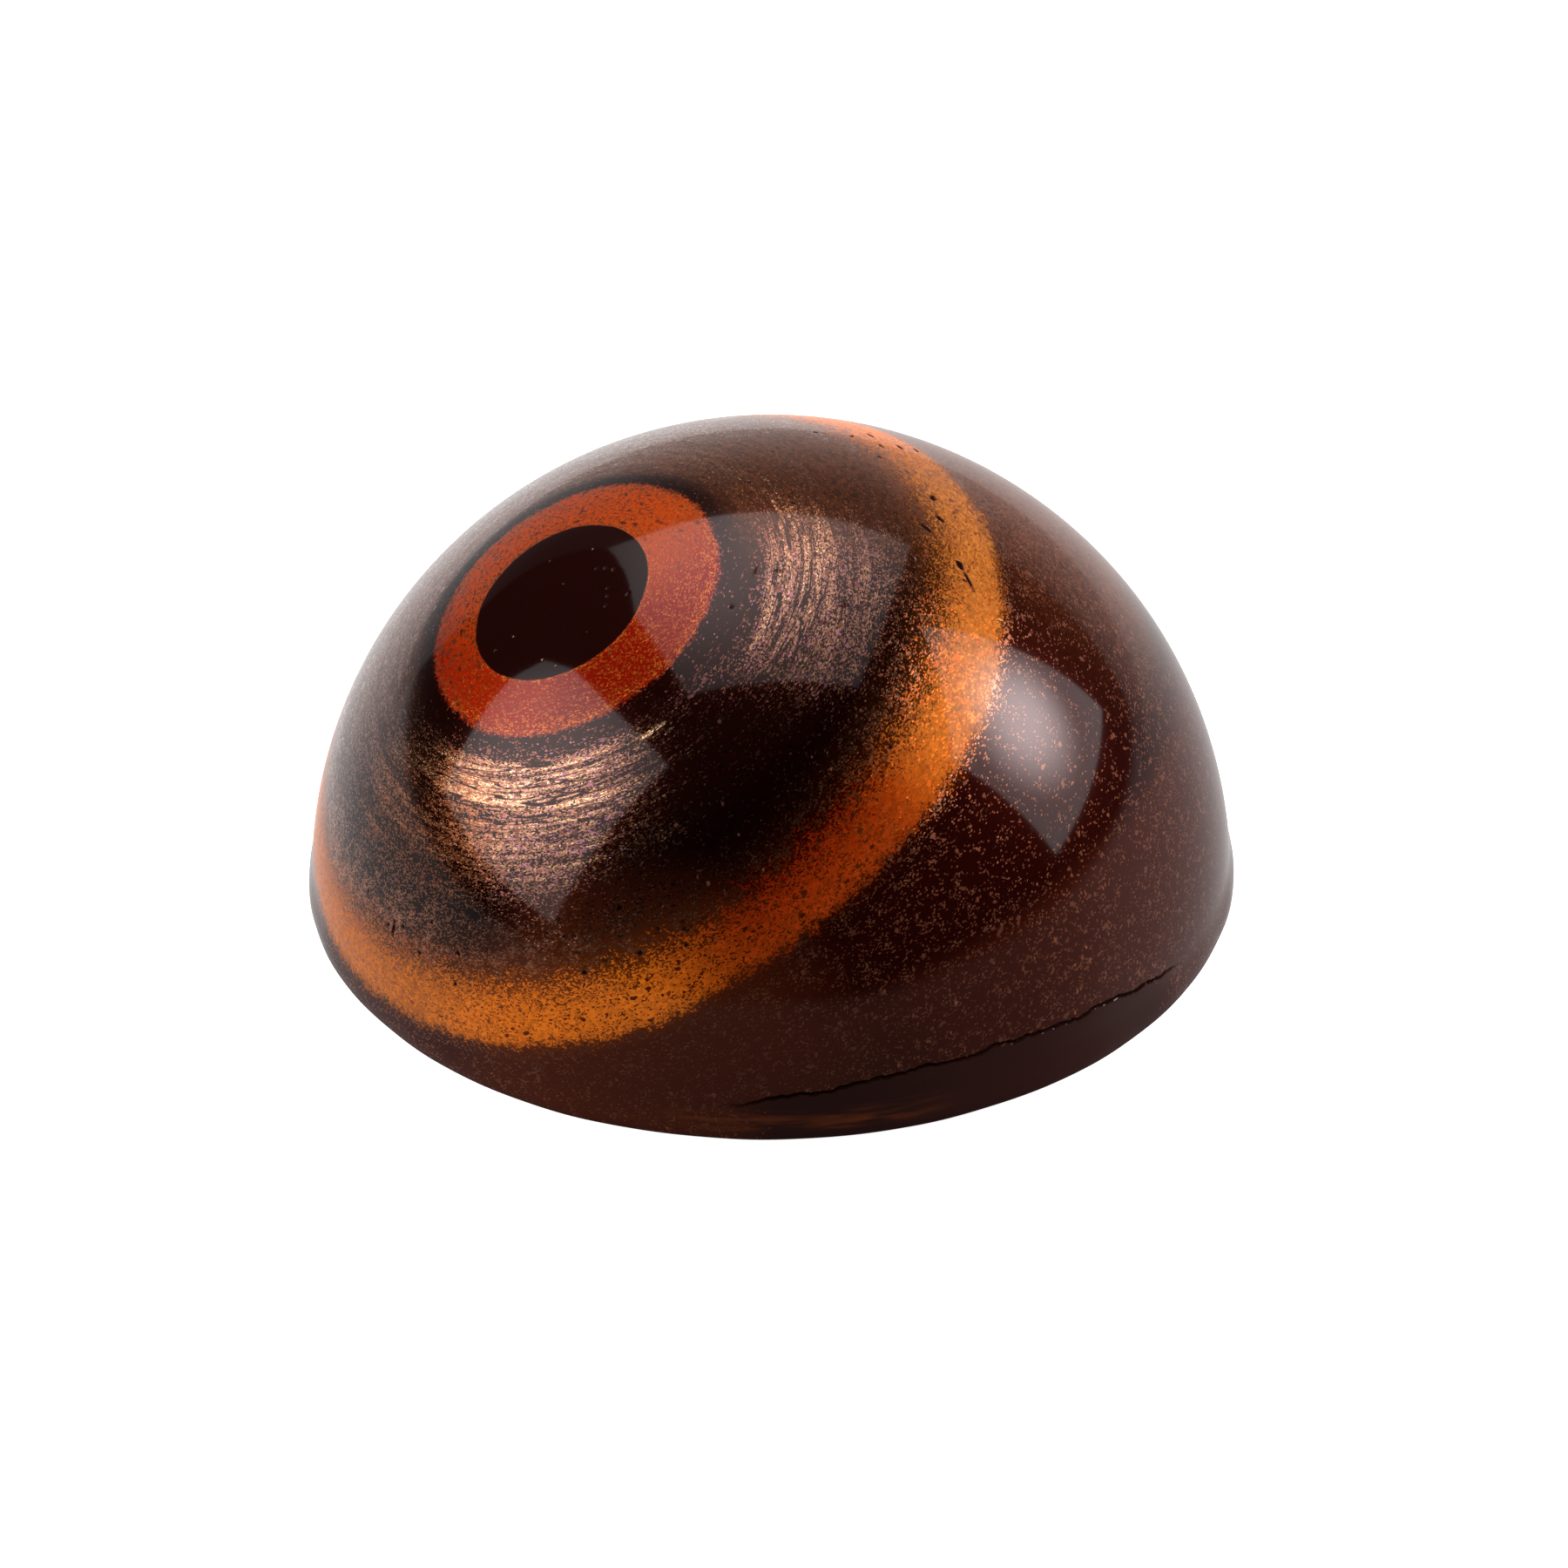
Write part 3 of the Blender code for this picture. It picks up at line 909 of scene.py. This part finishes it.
    def flakeColour(self):
        tree, tone = self.tree, self.tone
        bronze = rampOf(tree, tone, paint["bronzeTints"], 1.0)
        violet = fade(tree, self.hue, *paint["violetFade"])
        bronze = blendColour(tree, violet, bronze, solid(paint["violetTint"]))
        bronze = blendColour(tree, self.warm, bronze, rampOf(tree, tone, paint["warmTints"], 1.0))
        dust = rampOf(tree, tone, paint["dustTints"], 1.0)
        flank = rampOf(tree, tone, paint["flankTints"], 1.0)
        colour = blendColour(tree, self.pastStreaks, bronze, dust)
        colour = blendColour(tree, fade(tree, self.angle, *paint["flankTintsFrom"]), colour, flank)
        colour = blendColour(tree, self.sprayed, colour, rampOf(tree, tone, paint["orangeTints"], 1.0))
        return blendColour(tree, self.inRed, colour, rampOf(tree, tone, paint["redTints"], 1.0))

    def darkColour(self):
        # the dark paint, lighter and browner towards the foot, dusted on the left and browner on the far
        # side
        tree = self.tree
        dark = rampOf(tree, self.grainyAngle, paint["dark"], 100)
        rise = times(tree, self.facing((1, 0, 0)), paint["lowRise"])
        lowness = calc(tree, "SUBTRACT", self.facing((0, 0, 1)), rise)
        low = fade(tree, lowness, *paint["lowFade"])
        low = times(tree, low, fade(tree, self.angle, *paint["lowFrom"]))
        dark = blendColour(tree, low, dark, solid(paint["lowBrown"]))
        dark = blendColour(tree, self.near("leftDust"), dark, solid(paint["leftDust"]))
        farSide = fade(tree, self.facing((0, 1, 0)), *paint["farFacing"])
        farSide = times(tree, farSide, without(tree, fade(tree, self.angle, *paint["farTo"])))
        patchy = blendValue(tree, self.coarse.tone, *paint["farPatches"])
        farSide = times(tree, farSide, fade(tree, self.angle, *paint["farFrom"]), patchy)
        return blendColour(tree, farSide, dark, solid(paint["farBrown"]))

    def orangeColour(self):
        tree = self.tree
        goldShare = without(tree, self.near("bandRed"))
        orange = rampOf(tree, self.angle, paint["sprayColour"], 100)
        orange = blendColour(tree, goldShare, orange, solid(paint["sprayGold"]))
        orange = blendColour(tree, self.shiny, orange, solid(paint["sprayMica"]))
        orange = blendColour(tree, self.near("bandSide"), orange, solid(paint["spraySide"]))
        fineTone = blendValue(tree, self.fine.tone, *paint["sprayGrain"])
        coarseTone = blendValue(tree, self.coarse.tone, *paint["sprayGrain"])
        return scaled(tree, orange, times(tree, fineTone, coarseTone))

    def redColour(self):
        tree = self.tree
        # the red ring, painted lighter on its left and on its far top where light falls on it: painted
        # light
        red = blendColour(tree, self.near("redSidePaintedLight"), solid(paint["redColour"]), solid(paint["redSidePaintedLight"]))
        return blendColour(tree, self.near("redFarPaintedLight"), red, solid(paint["redFarPaintedLight"]))

    def smears(self):
        tree, values = self.tree, footSmears
        across = times(tree, self.aside, values["across"])
        upward = times(tree, self.height, values["upward"])
        shown = fade(tree, noiseOf(tree, joined(tree, across, 0.5, upward), 1.0), *values["fades"])
        middle = fade(tree, calc(tree, "ABSOLUTE", self.aside), *values["aside"], 1.0, 0.0)
        inFront = fade(tree, self.back, *values["back"], 1.0, 0.0)
        above = fade(tree, self.height, *values["from"])
        below = fade(tree, self.height, *values["to"], 1.0, 0.0)
        return times(tree, shown, middle, inFront, above, below)

    def baseColour(self):
        # the sprayed colours and the chocolate below them, with a painted highlight along the foot's edge
        tree = self.tree
        base = blendColour(tree, self.sprayed, self.darkColour(), self.orangeColour())
        base = blendColour(tree, self.inEye, base, solid(paint["eyeColour"]))
        base = blendColour(tree, self.inRed, base, self.redColour())
        base = blendColour(tree, self.painted, solid(paint["chocolate"]), base)
        base = blendColour(tree, self.smears(), base, solid(paint["footTint"]))
        # painted highlight along the foot's edge, for the light it catches from the pale table
        unevenHeight = calc(tree, "ADD", self.height, times(tree, self.clumps, paint["paintedFootLightRagged"]))
        footLightShare = fade(tree, unevenHeight, *paint["paintedFootLightFade"])
        base = blendColour(tree, footLightShare, base, solid(paint["paintedFootLight"]))
        # worn paint shows the broken chocolate; along the seam the same dark colour fills the crack as
        # painted shade
        return blendColour(tree, self.worn, base, solid(paint["brokenChocolateAndCrackShade"]))

    def metalShare(self):
        tree = self.tree
        base = fade(tree, self.angle, *sheen["baseMetal"])
        base = blendValue(tree, self.sprayed, base, blendValue(tree, self.shiny, *sheen["sprayMetal"]))
        inRings = calc(tree, "MAXIMUM", self.inRed, self.inEye)
        base = blendValue(tree, inRings, base, sheen["ringMetal"])
        flakes = fade(tree, self.angle, *sheen["flakeMetal"])
        flakes = blendValue(tree, self.inDot, flakes, sheen["dotMetal"])
        return times(tree, blendValue(tree, self.flake, base, flakes), self.painted)

    def finish(self):
        # feeds the shader: paint, flakes and chocolate, with a coat of gloss over them all
        tree, sockets = self.tree, self.shader.inputs
        dusty = calc(tree, "MAXIMUM", self.sprayed, self.inRed)
        dusty = calc(tree, "MAXIMUM", dusty, fade(tree, self.angle, *sheen["dustFrom"]))
        flakeRough = fade(tree, self.hue, *sheen["flakeRough"])
        flakeRough = blendValue(tree, dusty, flakeRough, sheen["dustRough"])
        baseRough = blendValue(tree, self.sprayed, *sheen["baseRough"])
        leaning = times(tree, self.flake, blendValue(tree, dusty, sheen["tilt"], sheen["dustTilt"]))
        normal = put(tree, "ShaderNodeNewGeometry").outputs["Normal"]
        tilted = vectorCalc(tree, "ADD", normal, scaled(tree, self.lean, leaning))
        gloss = blendValue(tree, self.inEye, sheen["coat"], sheen["coatOnEye"])
        gloss = times(tree, gloss, fade(tree, self.worn, *sheen["coatOffWorn"]))
        colour = blendColour(tree, self.flake, self.baseColour(), self.flakeColour())
        feed(tree, sockets["Base Color"], colour)
        feed(tree, sockets["Metallic"], self.metalShare())
        feed(tree, sockets["Roughness"], blendValue(tree, self.flake, baseRough, flakeRough))
        feed(tree, sockets["Normal"], vectorCalc(tree, "NORMALIZE", tilted))
        feed(tree, sockets["Coat Weight"], gloss)
        sockets["Specular IOR Level"].default_value = 0.0
        sockets["Coat Roughness"].default_value = sheen["coatRoughness"]
        sockets["Coat IOR"].default_value = sheen["coatIor"]


def paintedChocolate():
    material = bpy.data.materials.new("painted_chocolate")
    material.use_nodes = True
    shellPaint = ShellPaint(material.node_tree)
    shellPaint.setAngles()
    shellPaint.setMasks()
    shellPaint.setCells()
    shellPaint.sprayOrange()
    shellPaint.placeFlakes()
    shellPaint.placeDots()
    shellPaint.joinFlakes()
    shellPaint.finish()
    return material


pralineShell.data.materials.append(paintedChocolate())
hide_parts("praline")
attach(pralineShell, "root")
print("praline: paint mixed")


# the studio: sheets of light, by the azimuth (from the camera's side) and elevation of their corners;
# each is brightest towards its hot spot and falls off between two angles from it
lightSheets = {
    "key_box": {
        "corners": ((79, 11), (117, 12), (117, 55), (70, 43)), "away": 0.62,
        "hot": (97, 32.5), "falls": (2, 18), "glow": 18.0, "edge": 0.14,
    },
    "fill_box": {
        "corners": ((-100, 11), (-56, 9.5), (-44.5, 54.5), (-117, 39.5)), "away": 0.62,
        "hot": (-86, 35), "falls": (5, 34), "glow": 4.0, "edge": 0.36,
    },
    "top_box": {
        "corners": ((-64.8, 69.7), (72.4, 68.9), (148.4, 40.7), (-143.5, 37.3)), "away": 0.75,
        "hot": (-165, 62), "falls": (4, 38), "glow": 3.25, "edge": 0.28,
    },
    "left_bounce": {  # only warms the matt colours on the left, and doesn't show in the gloss
        "corners": ((-100, -8), (-38, -8), (-38, 36), (-100, 36)), "away": 0.70,
        "hot": (-70, 15), "falls": (5, 60), "glow": 0.95, "edge": 0.6, "glossy": False,
    },
    "backdrop": {
        "corners": (
            (117, -1), (126, 4), (133, 10), (138, 16), (144, 21),
            (148.4, 40), (-143.5, 37), (-135, 11), (-132, -2),
        ),
        "away": 0.9, "hot": (175, -60), "falls": (60, 96), "glow": 0.52, "edge": 0.24,
    },
}
floorAndRoom = {
    "floorSize": 6.0,
    "floorColour": (0.9, 0.9, 0.9),
    "floorGlow": 0.95, "floorRoughness": 0.8,
    "table": (  # how bright the table is in the gloss, from the front round to the back
        (0.0, 0.17), (0.55, 0.22), (0.80, 0.37), (1.0, 0.60),
        (1.34, 0.74), (1.64, 0.84), (1.87, 1.08), (2.0, 1.32),
    ),
    "tableLeft": 0.19,
    "leftFade": (0.3, -0.9), "leftBack": (-0.75, 0.0),
    "farEdge": 2.0,  # how high the table's far side stands in the gloss, in degrees
    "edgeSoftness": 1.8,
    "dark": 0.006,
}


def directionOf(azimuth, elevation):
    azimuth, elevation = math.radians(azimuth), math.radians(elevation)
    flat = math.cos(elevation)
    return Vector((flat * math.sin(azimuth), -flat * math.cos(azimuth), math.sin(elevation)))


def makeLightSheet(name, corners, away, hot, falls, glow, edge, glossy=True):
    directions = [directionOf(*corner) for corner in corners]
    facing = sum(directions, Vector()).normalized()
    pickNothing()
    bpy.ops.mesh.primitive_circle_add(vertices=len(corners), radius=1, fill_type="NGON")
    sheet = bpy.context.object
    sheet.name = name
    ring = [sheet.data.vertices[index] for index in sheet.data.polygons[0].vertices]
    for point, direction in zip(ring, directions):
        point.co = direction * (away / direction.dot(facing))
    glowing = bpy.data.materials.new(name)
    glowing.use_nodes = True
    tree = glowing.node_tree
    tree.nodes.clear()
    way = vectorCalc(tree, "NORMALIZE", put(tree, "ShaderNodeTexCoord").outputs["Object"])
    toHot = calc(tree, "ARCCOSINE", vectorCalc(tree, "DOT_PRODUCT", way, tuple(directionOf(*hot))))
    strength = fade(tree, calc(tree, "DEGREES", toHot), falls[0], falls[1], glow, glow * edge)
    lamp = put(tree, "ShaderNodeEmission", {"Strength": strength})
    out = put(tree, "ShaderNodeOutputMaterial")
    tree.links.new(lamp.outputs[0], out.inputs["Surface"])
    sheet.data.materials.append(glowing)
    sheet.visible_camera = False
    sheet.visible_glossy = glossy


def makeFloor():
    pickNothing()
    bpy.ops.mesh.primitive_plane_add(size=floorAndRoom["floorSize"], location=(0, 0, 0))
    floor = bpy.context.object
    floor.name = "pale_floor"
    pale = bpy.data.materials.new("pale_floor")
    pale.use_nodes = True
    shader = pale.node_tree.nodes["Principled BSDF"]
    shader.inputs["Base Color"].default_value = (*floorAndRoom["floorColour"], 1)
    shader.inputs["Roughness"].default_value = floorAndRoom["floorRoughness"]
    shader.inputs["Emission Color"].default_value = (1, 1, 1, 1)
    shader.inputs["Emission Strength"].default_value = floorAndRoom["floorGlow"]
    floor.data.materials.append(pale)
    floor.visible_glossy = False  # in the gloss the room's own table tone stands for it
    floor.visible_diffuse = False


def makeRoom():
    # white to the eye; the gloss sees a dark room over a pale table
    world = bpy.data.worlds.new("studio")
    bpy.context.scene.world = world
    world.use_nodes = True
    tree = world.node_tree
    tree.nodes.clear()
    seen = put(tree, "ShaderNodeLightPath").outputs["Is Camera Ray"]
    around = put(tree, "ShaderNodeTexCoord").outputs["Generated"]
    way = put(tree, "ShaderNodeSeparateXYZ", {"Vector": around})
    flat = calc(tree, "SQRT", without(tree, times(tree, way.outputs["Z"], way.outputs["Z"])))
    flat = calc(tree, "MAXIMUM", flat, 0.001)
    backness = calc(tree, "DIVIDE", way.outputs["Y"], flat)
    sideness = calc(tree, "DIVIDE", way.outputs["X"], flat)
    elevation = calc(tree, "DEGREES", calc(tree, "ARCSINE", way.outputs["Z"]))
    table = rampOf(tree, calc(tree, "ADD", backness, 1.0), floorAndRoom["table"], 2.0)
    onLeft = fade(tree, sideness, *floorAndRoom["leftFade"])
    onLeft = times(tree, onLeft, fade(tree, backness, *floorAndRoom["leftBack"]))
    table = calc(tree, "ADD", table, times(tree, onLeft, floorAndRoom["tableLeft"]))
    aboveEdge = calc(tree, "SUBTRACT", elevation, floorAndRoom["farEdge"])
    soft = floorAndRoom["edgeSoftness"]
    glow = blendValue(tree, fade(tree, aboveEdge, -soft, soft), table, floorAndRoom["dark"])
    background = put(tree, "ShaderNodeBackground", {"Strength": blendValue(tree, seen, glow, 1.0)})
    out = put(tree, "ShaderNodeOutputWorld")
    tree.links.new(background.outputs[0], out.inputs["Surface"])


def makeCamera():
    view = photoView
    elevation, roll = math.radians(view["elevation"]), math.radians(view["roll"])
    back = Vector((0, -math.cos(elevation), math.sin(elevation)))
    right, up = Vector((1, 0, 0)), Vector((0, math.sin(elevation), math.cos(elevation)))
    pixel = domeRadius / view["domePixels"]
    half = view["pictureSize"] / 2
    aside, above = (half - view["centrePixel"][0]) * pixel, (view["centrePixel"][1] - half) * pixel
    pictureUp = right * math.sin(roll) + up * math.cos(roll)
    pictureRight = right * math.cos(roll) - up * math.sin(roll)
    place = back * view["distance"]
    aim = pictureRight * aside + pictureUp * above
    backward = (place - aim).normalized()
    across = pictureUp.cross(backward).normalized()
    upright = backward.cross(across)
    turned = Matrix((across, upright, backward)).transposed()
    bpy.ops.object.camera_add(location=place, rotation=turned.to_euler())
    camera = bpy.context.object
    camera.name = "photo_camera"
    wide = 2 * half * pixel
    camera.data.sensor_width = view["sensor"]
    camera.data.lens = view["sensor"] * view["distance"] / wide
    camera.data.clip_start = view["clipStart"]
    bpy.context.scene.camera = camera


for sheetName, sheetValues in lightSheets.items():
    makeLightSheet(sheetName, **sheetValues)
makeFloor()
makeRoom()
makeCamera()
bpy.context.scene.view_settings.view_transform = "Standard"
print("praline: studio set")
